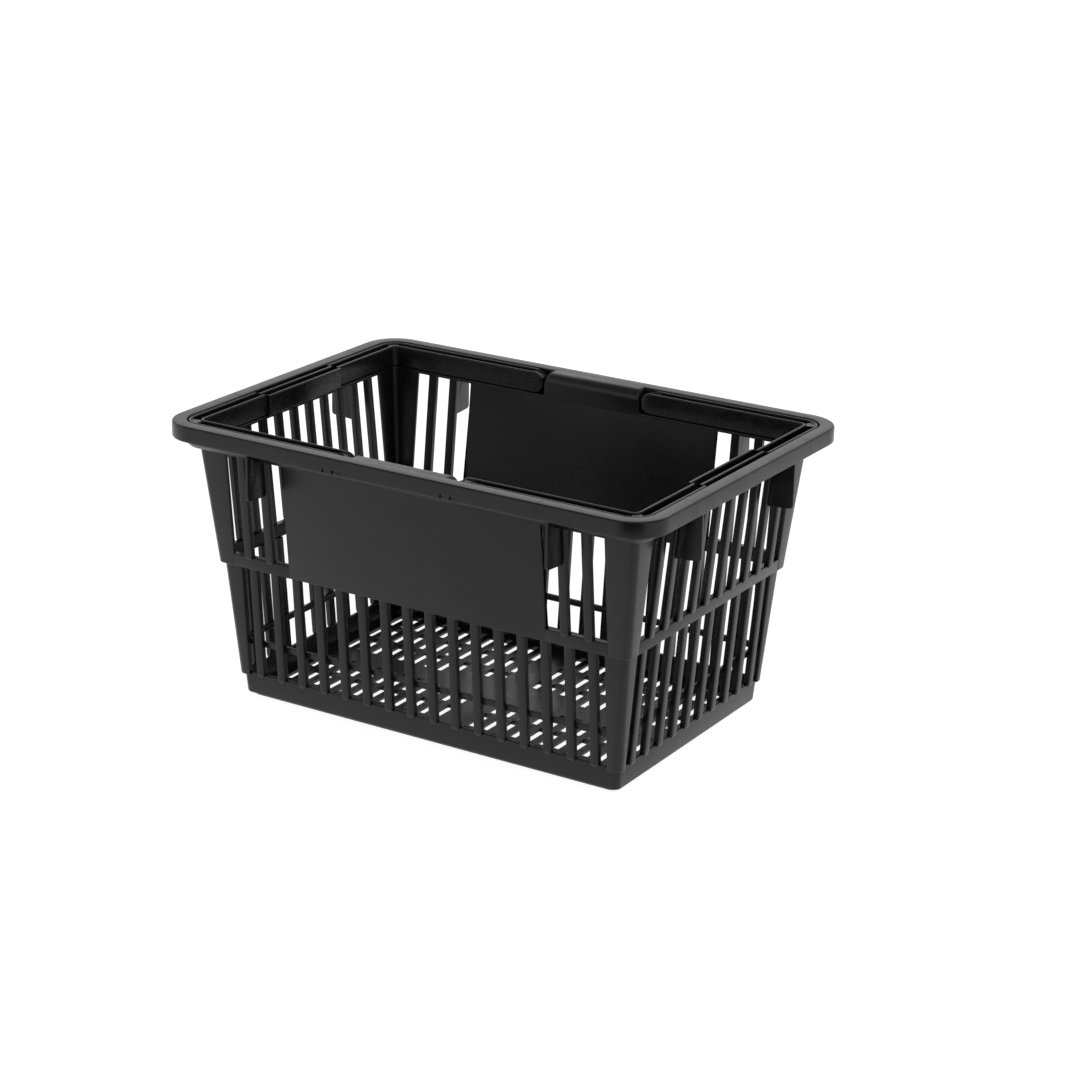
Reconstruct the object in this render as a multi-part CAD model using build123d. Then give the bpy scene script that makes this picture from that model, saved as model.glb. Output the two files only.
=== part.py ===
from build123d import *
import os

# Shopping basket with two swing handles. Millimetres, +Z up, origin at the middle of the
# underside. X runs along the long side, Y across it; front is -Y, back is +Y.

# ---- overall sizes
rim_length = 432.0
rim_width = 306.0
basket_height = 229.0
rim_corner_radius = 28.5

# ---- rim section: top flange, outer skirt, handle channel
rim_skirt_depth = 12.5
rim_flange_width = 11.5
rim_thickness = 2.4
rim_outer_round = 3.0
rim_inner_round = 1.2
channel_depth = 18.1
channel_width = 13.0
channel_bevel = 4.5

# ---- walls: each tier leans outwards towards the rim
wall_thickness = 3.0
wall_corner_radius = 6.0
upper_lean = 0.10
lower_lean = 0.08
base_lean = 0.08
upper_step = 3.0
lower_step = 2.4
mid_band_bottom = 112.5
mid_band_height = 10.5
mid_band_depth = 6.0
base_band_top = 21.0
foot_height = 2.3
foot_inset = 4.5

# ---- bars
bar_pitch = 20.36
bar_width = 7.2
bar_depth = 5.0
bar_proud = 1.5
bar_lap = 2.6
post_leg_least = 8.5
lower_edge_slot = 7.0
upper_edge_slot = 11.2
panel_bars_covered = 6
rail_height = 5.0
rail_thickness = 2.4
rail_bottom = 44.5

# ---- floor
floor_thickness = 2.0
floor_rib_depth = 2.0
floor_rib_thickness = 2.2
floor_slot_width = 6.4
floor_slot_length = 27.2
floor_slot_pitch_x = 12.8
floor_slot_pitch_y = 30.4
floor_columns_per_half = 12
floor_middle_gap = 33.0
floor_strip_half = 11.5
floor_plate_half_length = 49.0
floor_plate_half_width = 22.5
floor_edge_margin = 3.6

# ---- gusset fins under the rim
gusset_thickness = 2.4
gusset_height = 36.0

# ---- rim bridges between the handle ends
bridge_half_length = 45.0
bridge_round = 8.0
bridge_wall = 2.4

# ---- handles
handle_gap = 1.2
handle_width = 11.6
handle_height = 17.3
handle_wall = 2.2
handle_seat_gap = 0.3
handle_bevel_gap = 0.7
handle_grip_length = 96.0
handle_grip_shift = 4.0
handle_end_clearance = 0.8
handle_lip_round = 0.6
handle_lean_past_upright = 17.0
pin_radius = 2.8
pin_clearance = 0.08
boss_radius = 5.3
boss_length = 3.6
snap_notch_length = 16.0
snap_notch_height = 2.4

# ---- how far a cutting shape reaches past the faces that it opens
cut_over = 1.0

# ---- values worked out from the above
half_length = rim_length / 2
half_width = rim_width / 2
channel_floor = basket_height - channel_depth
wall_top = channel_floor - rim_thickness
wall_inset = rim_flange_width + channel_width - wall_thickness
mid_band_top = mid_band_bottom + mid_band_height
handle_bottom = channel_floor + handle_seat_gap
handle_top = handle_bottom + handle_height
pivot_height = handle_bottom + handle_height / 2
pivot_end_radius = handle_height / 2
pivot_x = bridge_half_length + handle_end_clearance + pivot_end_radius
arm_inset = rim_flange_width + handle_gap
corner_x = half_length - rim_corner_radius
corner_y = half_width - rim_corner_radius


def bevel_inside(bevel, wall):
    """Bevel of the inner face that keeps a wall as thick across its bevelled corner."""
    return bevel - (2 - 2**0.5) * wall


# the handle's lower outer edge is bevelled to clear the bevel inside the channel
channel_bevel_inside = bevel_inside(channel_bevel, rim_thickness)
handle_bevel = channel_bevel_inside - handle_gap - handle_seat_gap + 2**0.5 * handle_bevel_gap


def tier_half(half_at_rim, z):
    """Half size of the outer wall face at height z, for one direction."""
    top = half_at_rim - wall_inset
    if z >= mid_band_bottom:
        return top - upper_lean * (wall_top - z)
    step_half = top - upper_lean * (wall_top - mid_band_bottom) - upper_step
    return step_half - lower_lean * (mid_band_bottom - z)


def base_half(half_at_rim, z):
    """Half size of the base band's outer face at height z."""
    top = tier_half(half_at_rim, base_band_top) - lower_step
    return top - base_lean * (base_band_top - z)


def tapered_block(half, z_low, z_high, shrink=0.0, radius=wall_corner_radius):
    """Rounded block whose half sizes follow half(half_at_rim, z), shrunk by a wall."""
    corner = max(radius - shrink, 1.0)
    rings = []
    for z in (z_low, z_high):
        length = 2 * (half(half_length, z) - shrink)
        width = 2 * (half(half_width, z) - shrink)
        rings.append(Pos(0, 0, z) * RectangleRounded(length, width, corner))
    return loft(Sketch() + rings)


def lower_face(half_at_rim, z):
    """Outer face of the lower tier, carried on to any height."""
    step_half = half_at_rim - wall_inset - upper_lean * (wall_top - mid_band_bottom) - upper_step
    return step_half - lower_lean * (mid_band_bottom - z)


def upper_face(half_at_rim, z):
    """Outer face of the upper tier, carried on to any height."""
    return half_at_rim - wall_inset - upper_lean * (wall_top - z)


def shell(half, z_low, z_high, thickness):
    """Tapered tube between two heights."""
    return tapered_block(half, z_low, z_high) - tapered_block(half, z_low, z_high, thickness)


def box_between(x0, x1, y0, y1, z0, z1):
    """Box given by its two corners."""
    return Pos((x0 + x1) / 2, (y0 + y1) / 2, (z0 + z1) / 2) * Box(x1 - x0, y1 - y0, z1 - z0)


def place(side, part):
    """Turn a piece made for the front (-Y) wall, or the right (+X) wall, to its own side."""
    turns = {"front": 0, "back": 180, "right": 0, "left": 180}
    return Rot(0, 0, turns[side]) * part


def wall_prism(points, centre, length, side):
    """Prism of an (outward, z) outline, run along a wall and centred at a place on it."""
    if side in ("front", "back"):
        outline = Plane.YZ * make_face(Polyline([(-out, z) for out, z in points], close=True))
        return Pos(centre - length / 2, 0, 0) * extrude(outline, length, dir=(1, 0, 0))
    outline = Plane.XZ * make_face(Polyline(points, close=True))
    return Pos(0, centre - length / 2, 0) * extrude(outline, length, dir=(0, 1, 0))


def rim_half_of(side):
    """Rim half size across the wall of a side."""
    return half_width if side in ("front", "back") else half_length


def bar_places(count):
    """Centres of a row of bars."""
    return [(i - (count - 1) / 2) * bar_pitch for i in range(count)]


def bar_count(side):
    """Number of bars that fit between the corner posts at the foot of the lower tier."""
    half_along = half_length if side in ("front", "back") else half_width
    last = lower_face(half_along, base_band_top) - post_leg_least - lower_edge_slot
    return int((2 * last - bar_width) / bar_pitch) + 1


def post_edge(side, slot):
    """Distance from the wall's middle to the corner post's edge."""
    return (bar_count(side) - 1) / 2 * bar_pitch + bar_width / 2 + slot


def lower_bars(side):
    """Bars between the base band and the mid band, lapping over the base band."""
    rim_half = rim_half_of(side)
    top, seat, tip = mid_band_bottom, base_band_top, base_band_top - bar_lap
    points = [
        (lower_face(rim_half, tip), tip),
        (lower_face(rim_half, top), top),
        (lower_face(rim_half, top) - bar_depth, top),
        (lower_face(rim_half, seat) - bar_depth, seat),
        (base_half(rim_half, seat), seat),
        (base_half(rim_half, tip), tip),
    ]
    return [wall_prism(points, at, bar_width, side) for at in bar_places(bar_count(side))]


def upper_bar_places(side):
    """Places of the upper bars; the long walls leave the middle to the panel."""
    places = bar_places(bar_count(side))
    if side in ("front", "back"):
        return [at for at in places if abs(at) > panel_half() + bar_width]
    return places


def panel_half():
    """Half width of the solid panel: its edges line up with bars of the lower tier."""
    return (panel_bars_covered - 0.5) * bar_pitch + bar_width / 2


def upper_bars(side):
    """Bars between the mid band and the rim, standing a little proud of the wall."""
    rim_half = rim_half_of(side)
    top, seat, tip = wall_top, mid_band_top, mid_band_top - bar_lap
    points = [
        (upper_face(rim_half, tip) + bar_proud, tip),
        (upper_face(rim_half, top) + bar_proud, top),
        (upper_face(rim_half, top) + bar_proud - bar_depth, top),
        (upper_face(rim_half, seat) + bar_proud - bar_depth, seat),
        (upper_face(rim_half, seat), seat),
        (upper_face(rim_half, tip), tip),
    ]
    return [wall_prism(points, at, bar_width, side) for at in upper_bar_places(side)]


def mid_band(side):
    """Ledge between the two tiers, from post to post, open where the panel comes down."""
    rim_half = rim_half_of(side)
    points = [
        (upper_face(rim_half, mid_band_bottom), mid_band_bottom),
        (upper_face(rim_half, mid_band_top), mid_band_top),
        (upper_face(rim_half, mid_band_top) - mid_band_depth, mid_band_top),
        (upper_face(rim_half, mid_band_bottom) - mid_band_depth, mid_band_bottom),
    ]
    edge = post_edge(side, upper_edge_slot)
    if side in ("right", "left"):
        return [wall_prism(points, 0, 2 * edge, side)]
    length = edge - panel_half()
    middle = (edge + panel_half()) / 2
    return [wall_prism(points, -middle, length, side), wall_prism(points, middle, length, side)]


def panel(side):
    """Solid panel in the middle of a long wall."""
    rim_half = rim_half_of(side)
    points = [
        (upper_face(rim_half, mid_band_bottom), mid_band_bottom),
        (upper_face(rim_half, wall_top), wall_top),
        (upper_face(rim_half, wall_top) - wall_thickness, wall_top),
        (upper_face(rim_half, mid_band_top) - wall_thickness, mid_band_top),
        (upper_face(rim_half, mid_band_top) - mid_band_depth, mid_band_top),
        (upper_face(rim_half, mid_band_bottom) - mid_band_depth, mid_band_bottom),
    ]
    return [wall_prism(points, 0, 2 * panel_half(), side)]


def inner_rail(side):
    """Thin rail that ties the lower bars together on the inside."""
    rim_half = rim_half_of(side)
    low, high = rail_bottom, rail_bottom + rail_height
    points = [
        (lower_face(rim_half, low) - bar_depth, low),
        (lower_face(rim_half, high) - bar_depth, high),
        (lower_face(rim_half, high) - bar_depth - rail_thickness, high),
        (lower_face(rim_half, low) - bar_depth - rail_thickness, low),
    ]
    edge = post_edge(side, lower_edge_slot)
    return [wall_prism(points, 0, 2 * edge, side)]


def gussets(side):
    """Two fins outside a wall, each on an upper bar next to the post, out to the rim's skirt."""
    rim_half = rim_half_of(side)
    low = basket_height - rim_skirt_depth - rim_thickness - gusset_height
    skirt_face = rim_half - rim_thickness
    leg_face = rim_half - rim_flange_width + rim_thickness
    points = [
        (upper_face(rim_half, low) + bar_proud, low),
        (skirt_face, low),
        (skirt_face, basket_height - rim_thickness),
        (leg_face, basket_height - rim_thickness),
        (leg_face, wall_top + channel_bevel),
        (leg_face - channel_bevel, wall_top),
        (upper_face(rim_half, wall_top) + bar_proud, wall_top),
    ]
    at = upper_bar_places(side)[1]
    return [wall_prism(points, sign * at, gusset_thickness, side) for sign in (-1, 1)]


def corner_post(sx, sy):
    """Stepped corner post, one piece from the base band to the rim."""
    upper = shell(upper_face, mid_band_bottom, wall_top, wall_thickness)
    step = shell(upper_face, mid_band_bottom, mid_band_top, mid_band_depth)
    lower = shell(lower_face, base_band_top, mid_band_bottom, bar_depth)
    lap = shell(lower_face, base_band_top - bar_lap, base_band_top, lower_step)
    lap = lap - tapered_block(base_half, base_band_top - bar_lap, base_band_top)
    x_low, y_low = post_edge("front", lower_edge_slot), post_edge("right", lower_edge_slot)
    x_up, y_up = post_edge("front", upper_edge_slot), post_edge("right", upper_edge_slot)
    zone_low = corner_zone(sx, sy, x_low, y_low, base_band_top - bar_lap, mid_band_bottom)
    zone_up = corner_zone(sx, sy, x_up, y_up, mid_band_bottom, wall_top)
    return ((upper + step) & zone_up) + ((lower + lap) & zone_low)


def corner_zone(sx, sy, x_edge, y_edge, z0, z1):
    """Everything beyond a corner's two edges, between two heights."""
    xs = sorted((sx * x_edge, sx * half_length))
    ys = sorted((sy * y_edge, sy * half_width))
    return box_between(xs[0], xs[1], ys[0], ys[1], z0, z1)


def base_band(side):
    """Solid band round the floor: the front and back strips reach round the corners."""
    ring = shell(base_half, foot_height, base_band_top, wall_thickness)
    seam = base_half(half_length, foot_height) - wall_corner_radius - wall_thickness
    if side in ("front", "back"):
        sign = -1 if side == "front" else 1
        ys = sorted((0, sign * half_width))
        strip = box_between(-half_length, half_length, ys[0], ys[1], 0, base_band_top)
        return ring & strip & (
            box_between(-half_length, half_length, -half_width, half_width, 0, basket_height)
            - box_between(-half_length, -seam, -band_seam_y(), band_seam_y(), 0, basket_height)
            - box_between(seam, half_length, -band_seam_y(), band_seam_y(), 0, basket_height)
        )
    sign = 1 if side == "right" else -1
    xs = sorted((sign * seam, sign * half_length))
    return ring & box_between(xs[0], xs[1], -band_seam_y(), band_seam_y(), 0, base_band_top)


def band_seam_y():
    """Where the end strips of the base band stop and the long strips take over."""
    return base_half(half_width, foot_height) - wall_corner_radius - wall_thickness


def floor_outline(shrink):
    """Rounded outline inside the base band."""
    length = 2 * (base_half(half_length, foot_height) - shrink)
    width = 2 * (base_half(half_width, foot_height) - shrink)
    return RectangleRounded(length, width, wall_corner_radius)


def foot():
    """Shallow ring that the basket stands on, set in from the base band."""
    ring = extrude(floor_outline(foot_inset), foot_height)
    return ring - extrude(floor_outline(foot_inset + wall_thickness), foot_height)


def floor_rows():
    """Start and end, across the floor, of each row of slots on one side of the middle."""
    reach = base_half(half_width, foot_height) - wall_thickness - floor_edge_margin
    rows = []
    start = floor_strip_half
    while start + floor_slot_length <= reach:
        rows.append((start, start + floor_slot_length))
        start += floor_slot_pitch_y
    return rows


def floor_columns():
    """Places of the columns of slots on one half of the floor."""
    reach = base_half(half_length, foot_height) - wall_thickness - floor_edge_margin
    places = [floor_middle_gap / 2 + i * floor_slot_pitch_x for i in range(floor_columns_per_half)]
    return [at for at in places if at + floor_slot_width / 2 <= reach]


def floor_slots():
    """Openings of the floor; those beside the middle plate are cut short by it."""
    slots = []
    cut_depth = 2 * (floor_thickness + cut_over)
    for at in floor_columns():
        for start, end in floor_rows():
            if at < floor_plate_half_length:
                start = max(start, floor_plate_half_width)
            for sx in (-1, 1):
                for sy in (-1, 1):
                    seat = Pos(sx * at, sy * (start + end) / 2, foot_height)
                    slots.append(seat * Box(floor_slot_width, end - start, cut_depth))
    return slots


def floor_ribs():
    """Ribs under the floor sheet, between the rows of slots, from foot to foot."""
    length = 2 * (base_half(half_length, foot_height) - foot_inset - wall_thickness)
    gap = floor_slot_pitch_y - floor_slot_length
    places = [start - gap / 2 for start, end in floor_rows()]
    ribs = []
    for at in places:
        for sy in (-1, 1):
            seat = Pos(0, sy * at, foot_height - floor_rib_depth / 2)
            ribs.append(seat * Box(length, floor_rib_thickness, floor_rib_depth))
    return ribs


def floor_grid():
    """Floor sheet with rows of slots, and the ribs that run between the rows."""
    sheet = Pos(0, 0, foot_height) * extrude(floor_outline(wall_thickness), floor_thickness)
    return sheet - floor_slots() + floor_ribs()


def rim_outline():
    """Closed section of the rim: (inward from the rim's outer face, height)."""
    top, skirt = basket_height, basket_height - rim_skirt_depth
    inner = rim_flange_width + channel_width
    leg = rim_flange_width - rim_thickness
    points = [
        (0, skirt),
        (0, top),
        (rim_flange_width, top),
        (rim_flange_width, channel_floor + channel_bevel_inside),
        (rim_flange_width + channel_bevel_inside, channel_floor),
        (inner, channel_floor),
        (inner, wall_top),
        (leg + channel_bevel, wall_top),
        (leg, wall_top + channel_bevel),
        (leg, top - rim_thickness),
        (rim_thickness, top - rim_thickness),
        (rim_thickness, skirt),
    ]
    face = make_face(Polyline(points, close=True))
    outer = face.vertices().group_by(Axis.X)[0].sort_by(Axis.Y)[-1]
    face = fillet(outer, rim_outer_round)
    inner_edge = face.vertices().group_by(Axis.Y)[-1].sort_by(Axis.X)[-1]
    return fillet(inner_edge, rim_inner_round)


def run_section(section, side, start, stop):
    """Run an (inward, z) section along a side of the rim, between two places on it."""
    if side in ("front", "back"):
        seat = Plane(origin=(start, -half_width, 0), x_dir=(0, 1, 0), z_dir=(1, 0, 0))
        return extrude(seat * section, stop - start, dir=(1, 0, 0))
    seat = Plane(origin=(half_length, start, 0), x_dir=(-1, 0, 0), z_dir=(0, 1, 0))
    return extrude(seat * section, stop - start, dir=(0, 1, 0))


def turn_section(section, sx, sy):
    """Turn an (inward, z) section round a corner of the rim."""
    seat = Plane(origin=(half_length, corner_y, 0), x_dir=(-1, 0, 0), z_dir=(0, 1, 0))
    axis = Axis((corner_x, corner_y, 0), (0, 0, 1))
    corner = revolve(seat * section, axis, 90)
    if corner.center().Y < corner_y:
        corner = revolve(seat * section, axis, -90)
    if sx < 0:
        corner = mirror(corner, Plane.YZ)
    if sy < 0:
        corner = mirror(corner, Plane.XZ)
    return corner


def y_cylinder(x, z, radius, y0, y1):
    """Cylinder along Y."""
    return Pos(x, (y0 + y1) / 2, z) * Rot(90, 0, 0) * Cylinder(radius, abs(y1 - y0))


def rim_rail_long(side):
    """Long rim rail, with the pivot bosses and bores and the notches for fitting the pins."""
    rail = run_section(rim_outline(), "front", -corner_x, corner_x)
    leg_face = -half_width + rim_flange_width
    boss_end = leg_face - rim_thickness - boss_length
    for x in (-pivot_x, pivot_x):
        rail = rail + y_cylinder(x, pivot_height, boss_radius, leg_face - rim_thickness, boss_end)
    for x in (-pivot_x, pivot_x):
        bore = pin_radius + pin_clearance
        rail = rail - y_cylinder(x, pivot_height, bore, leg_face + cut_over, boss_end - cut_over)
        rail = rail - notch(x)
    return place(side, rail)


def notch(x):
    """Small notch in the skirt's lower edge under a pivot."""
    low = basket_height - rim_skirt_depth
    return box_between(
        x - snap_notch_length / 2,
        x + snap_notch_length / 2,
        -half_width - cut_over,
        -half_width + rim_thickness + cut_over,
        low - cut_over,
        low + snap_notch_height,
    )


def rim_bridge(side):
    """Hollow block that closes the handle channel between the handle ends."""
    top, inner = basket_height, rim_flange_width + channel_width
    bevel = channel_bevel_inside
    outer = bridge_section(rim_flange_width, inner, channel_floor, top, bridge_round, bevel)
    core = bridge_section(
        rim_flange_width + bridge_wall,
        inner - bridge_wall,
        channel_floor + bridge_wall,
        top - bridge_wall,
        bridge_round - bridge_wall,
        bevel_inside(bevel, bridge_wall),
    )
    return place(side, bridge_block(outer, 0.0) - bridge_block(core, bridge_wall))


def bridge_block(section, wall):
    """Run of a bridge section, its ends sloped as the handles lean when they are lifted."""
    half = bridge_half_length - wall
    block = run_section(section, "front", -half, half)
    reach = pivot_end_radius + handle_end_clearance + wall
    lifted_arm = box_between(-reach, reach, -half_width, 0, 0, basket_height)
    for sign in (-1, 1):
        seat = Pos(sign * pivot_x, 0, pivot_height) * Rot(0, -sign * handle_lean_past_upright, 0)
        block = block - seat * lifted_arm
    return block


def bridge_section(near, far, low, high, radius, bevel):
    """Section with a rounded upper inner corner and a bevelled lower outer corner."""
    points = [(near, low + bevel), (near, high), (far, high), (far, low), (near + bevel, low)]
    face = make_face(Polyline(points, close=True))
    corner = [v for v in face.vertices() if v.X > far - 0.01 and v.Y > high - 0.01]
    return fillet(corner, radius)


def handle_section(shift=0.0):
    """Handle section: a channel open at the top, its lower outer edge bevelled, (inward, z)."""
    near, far = arm_inset + shift, arm_inset + handle_width + shift
    points = [
        (near, handle_bottom + handle_bevel),
        (near, handle_top),
        (near + handle_wall, handle_top),
        (near + handle_wall, handle_bottom + handle_wall),
        (far - handle_wall, handle_bottom + handle_wall),
        (far - handle_wall, handle_top),
        (far, handle_top),
        (far, handle_bottom),
        (near + handle_bevel, handle_bottom),
    ]
    face = make_face(Polyline(points, close=True))
    lips = [v for v in face.vertices() if v.Y > handle_top - 0.01]
    return fillet(lips, handle_lip_round)


def handle_arm():
    """Front arm of the right handle, with its round pivot end."""
    arm = run_section(handle_section(), "front", pivot_x, corner_x)
    y0 = -half_width + arm_inset
    y1 = y0 + handle_width
    end = y_cylinder(pivot_x, pivot_height, pivot_end_radius, y0, y1)
    end = chamfer(end.edges().filter_by(GeomType.CIRCLE).sort_by(Axis.Y)[0], handle_bevel)
    y0, y1 = y0 + handle_wall, y1 - handle_wall
    low, high = handle_bottom + handle_wall, handle_top + cut_over
    inside = y_cylinder(pivot_x, pivot_height, pivot_end_radius - handle_wall, y0, y1)
    throat = box_between(pivot_x, corner_x, y0, y1, low, high)
    above = box_between(pivot_x - handle_height, pivot_x, y0, y1, pivot_height, high)
    return (arm + end) - inside - throat - above


def handle_grip():
    """Cross-piece of the right handle: two shoulders and the grip between them."""
    half = handle_grip_length / 2
    grip = run_section(handle_section(handle_grip_shift), "right", -half, half)
    shoulders = run_section(handle_section(), "right", -corner_y, -half + handle_wall)
    shoulders += run_section(handle_section(), "right", half - handle_wall, corner_y)
    return grip + shoulders


def pivot_pin():
    """Pin of the right handle's front arm, carried in the rim's boss."""
    start = -half_width + arm_inset
    stop = -half_width + rim_flange_width - rim_thickness - boss_length
    return y_cylinder(pivot_x, pivot_height, pin_radius, stop, start)


def write(name, *solids):
    """Write the solids of one sub-part to its own file."""
    pieces = []
    for solid in solids:
        pieces += list(solid.solids()) if hasattr(solid, "solids") else [solid]
    export_step(Compound(children=pieces) if len(pieces) > 1 else pieces[0], f"parts/{name}.step")


def build():
    """Write every sub-part."""
    os.makedirs("parts", exist_ok=True)
    for side in ("front", "back", "left", "right"):
        makers = {
            "lower_bars": lower_bars,
            "upper_bars": upper_bars,
            "mid_band": mid_band,
            "inner_rail": inner_rail,
            "gussets": gussets,
        }
        model_side = "front" if side in ("front", "back") else "right"
        for name, maker in makers.items():
            write(f"{side}_{name}", *[place(side, piece) for piece in maker(model_side)])
        write(f"{side}_base_band", base_band(side))
    for side in ("front", "back"):
        write(f"{side}_panel", *[place(side, piece) for piece in panel("front")])
        write(f"{side}_rim_rail", rim_rail_long(side))
        write(f"{side}_rim_bridge", rim_bridge(side))
    for side in ("left", "right"):
        rail = run_section(rim_outline(), "right", -corner_y, corner_y)
        write(f"{side}_rim_rail", place(side, rail))
    corners = {"front_left": (-1, -1), "front_right": (1, -1), "back_left": (-1, 1), "back_right": (1, 1)}
    for name, (sx, sy) in corners.items():
        write(f"{name}_post", corner_post(sx, sy))
        write(f"{name}_rim_corner", turn_section(rim_outline(), sx, sy))
        write(f"{name}_handle_corner", turn_section(handle_section(), sx, sy))
        arm, pin = handle_arm(), pivot_pin()
        if sx < 0:
            arm, pin = mirror(arm, Plane.YZ), mirror(pin, Plane.YZ)
        if sy > 0:
            arm, pin = mirror(arm, Plane.XZ), mirror(pin, Plane.XZ)
        write(f"{name}_handle_arm", arm)
        write(f"{name}_pivot_pin", pin)
    write("right_handle_grip", handle_grip())
    write("left_handle_grip", mirror(handle_grip(), Plane.YZ))
    write("floor_grid", floor_grid())
    write("foot_ring", foot())


build()
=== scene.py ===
from math import radians, sqrt

import bpy
import numpy as np
from mathutils import Matrix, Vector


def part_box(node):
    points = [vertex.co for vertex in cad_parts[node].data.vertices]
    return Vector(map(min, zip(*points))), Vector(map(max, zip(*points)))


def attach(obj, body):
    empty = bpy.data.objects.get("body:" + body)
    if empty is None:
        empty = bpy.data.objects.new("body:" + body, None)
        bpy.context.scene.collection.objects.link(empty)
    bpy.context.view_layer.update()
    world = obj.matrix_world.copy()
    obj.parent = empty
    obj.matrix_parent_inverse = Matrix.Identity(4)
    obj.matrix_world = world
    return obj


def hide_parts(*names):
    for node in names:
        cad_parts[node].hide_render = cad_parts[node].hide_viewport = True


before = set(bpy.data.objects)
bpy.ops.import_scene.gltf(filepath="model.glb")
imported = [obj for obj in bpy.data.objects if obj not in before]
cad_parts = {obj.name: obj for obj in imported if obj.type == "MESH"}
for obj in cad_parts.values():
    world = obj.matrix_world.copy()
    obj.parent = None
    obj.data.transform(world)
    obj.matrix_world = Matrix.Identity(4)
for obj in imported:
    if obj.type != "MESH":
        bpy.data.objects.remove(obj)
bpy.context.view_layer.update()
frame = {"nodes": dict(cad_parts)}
nodes = frame["nodes"]

# Shopping basket in black polypropylene. Shapes are worked out in millimetres and put into
# metres when a mesh is made. X runs along the long side, Y across it, Z up.
MM = 0.001


def box_mm(node):
    """Lowest and highest corner of a CAD node, in millimetres."""
    low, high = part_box(node)
    return np.array(low) / MM, np.array(high) / MM


# ---- sizes read from the frame
rail_low, rail_high = box_mm("right_rim_rail")
long_rail_high = box_mm("back_rim_rail")[1]
HALF_LENGTH = rail_high[0]
HALF_WIDTH = long_rail_high[1]
RIM_TOP = rail_high[2]
WALL_TOP = rail_low[2]
CORNER_X = long_rail_high[0]
CORNER_Y = rail_high[1]
RIM_CORNER = HALF_LENGTH - CORNER_X
RIM_REACH = rail_high[0] - rail_low[0]

band_low, band_high = box_mm("right_mid_band")
MID_LOW, MID_TOP = band_low[2], band_high[2]
base_low, base_high = box_mm("right_base_band")
BASE_LOW, BASE_TOP = base_low[2], base_high[2]
inner_rail_low, inner_rail_high = box_mm("right_inner_rail")
bars_low, bars_high = box_mm("front_lower_bars")
arm_low, arm_high = box_mm("front_right_handle_arm")
pin_low, pin_high = box_mm("front_right_pivot_pin")
PANEL_HALF = box_mm("front_panel")[1][0]
BRIDGE_HALF = box_mm("front_rim_bridge")[1][0]
GUSSET_LOW = box_mm("front_gussets")[0][2]

# ---- the basket's own proportions
WALL = 3.0
WALL_INSET = RIM_REACH - WALL
UPPER_LEAN = 0.10
LOWER_LEAN = 0.08
BASE_LEAN = 0.08
UPPER_STEP = 3.0
LOWER_STEP = 2.4
MID_DEPTH = 6.0
WALL_CORNER = 6.0
SKIRT_DEPTH = 12.5
FLANGE = 11.5
SHEET = 2.4
CHANNEL_FLOOR = WALL_TOP + SHEET
CHANNEL_BEVEL = 4.5
BEVEL_INSIDE = CHANNEL_BEVEL - (2 - sqrt(2)) * SHEET
BAR_WIDTH = 7.2
BAR_DEPTH = 5.0
BAR_PROUD = 1.5
BAR_CROWN = 0.12
LOWER_SLOT = 7.0
UPPER_SLOT = 11.2
BARS_LONG = 16
BARS_END = 10
PITCH = (bars_high[0] - bars_low[0] - BAR_WIDTH) / (BARS_LONG - 1)
BAR_LAP = BASE_TOP - bars_low[2]
# A bar's round tip: how far its face drops back, and its rings as shares of the tip's height.
TIP_DROP = 1.4
TIP_RINGS = np.array([0.04, 0.16, 0.35, 0.62, 1.0])
# Inset of a post's outline at these heights above its lower end.
FOOT_ROUND = ((0.0, 1.0), (0.15, 0.55), (0.45, 0.18), (1.0, 0.0))
# Pieces meet with a lap: bars, posts and panels run on by LAP, fins and bosses by BITE.
LAP = 0.5
BITE = 0.4
# Radius of the rounded ends of a run along a wall.
END_ROUND = 0.8
# Fine seam grooves across the rim: places along each side, half width, depth, flat beside it.
SEAMS = {
    "front": (-145.0, 125.0),
    "back": (-125.0, 145.0),
    "right": (-86.0, -62.0, 92.0),
    "left": (-92.0, 62.0, 86.0),
}
SEAM_HALF, SEAM_DEPTH, SEAM_HOLD = 0.22, 0.13, 0.4
# Notches in the skirt's lower edge: starts and stops along x, height, half width of an end.
SKIRT_NOTCHES = ((-61.0, -56.5), (-52.5, -42.0), (43.0, 48.5), (51.5, 57.5))
NOTCH_RISE, NOTCH_EDGE = 3.2, 0.15
LEAN_PAST_UPRIGHT = radians(17.0)
BRIDGE_ROLL, BRIDGE_SOFT = 8.0, 1.2
PIVOT_X = (pin_low[0] + pin_high[0]) / 2
PIVOT_Z = (pin_low[2] + pin_high[2]) / 2
PIVOT_END = (arm_high[2] - arm_low[2]) / 2
PIN_BORE = (pin_high[0] - pin_low[0]) / 2 + 0.08
BOSS_RADIUS = PIN_BORE + 2.4
BOSS_DEPTH, BOSS_EASE = 4.0, 0.3
HANDLE_BOTTOM, HANDLE_TOP = arm_low[2], arm_high[2]
HANDLE_WALL = 2.2
HANDLE_BEVEL = 2.6
ARM_INSET = HALF_WIDTH + arm_low[1]
HANDLE_WIDTH = arm_high[1] - arm_low[1]
GRIP_HALF = 48.0
GRIP_SHIFT = 4.0
# The filled pivot end and the corner's web stop this far below the lips of the channel.
FILL_DROP, WEB_DROP = 1.6, 1.2


# ---------------------------------------------------------------- surfaces
# Edges sharper than this are shaded as edges.
SHARP_ANGLE = radians(32.0)


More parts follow.
